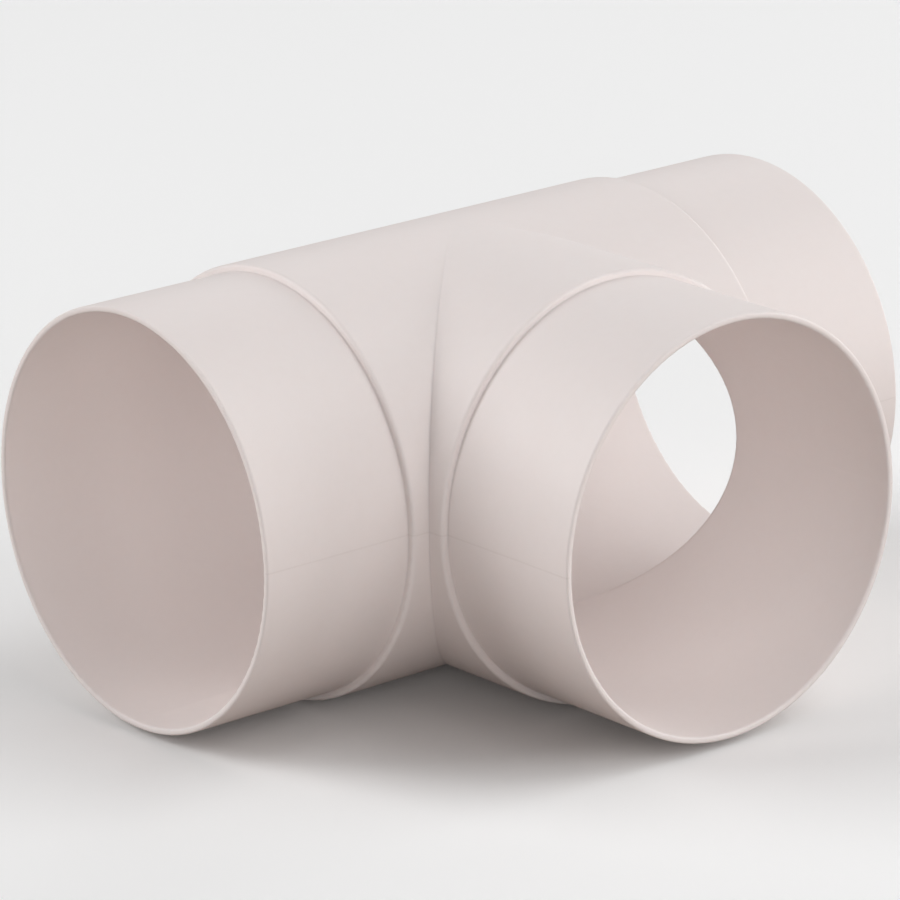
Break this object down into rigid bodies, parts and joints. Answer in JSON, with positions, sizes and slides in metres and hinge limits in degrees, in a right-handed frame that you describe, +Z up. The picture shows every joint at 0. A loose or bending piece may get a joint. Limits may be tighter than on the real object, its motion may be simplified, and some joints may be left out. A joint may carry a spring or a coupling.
{
  "type": "duct tee",
  "caption": "Equal tee for round ventilation duct: a straight run with a square side branch, each mouth a push-in spigot that ends at a raised shoulder.",
  "frame": {"origin": "where the centre line of the branch crosses the centre line of the run", "axes": "+X along the run, from the left spigot to the right spigot; -Y out of the branch's mouth; +Z up, square to both centre lines"},
  "size_m": [0.193, 0.148, 0.103],
  "materials": {
    "white_plastic": "satin"
  },
  "bodies": {
    "root": {"duct_tee": "white_plastic"}
  },
  "joints": []
}
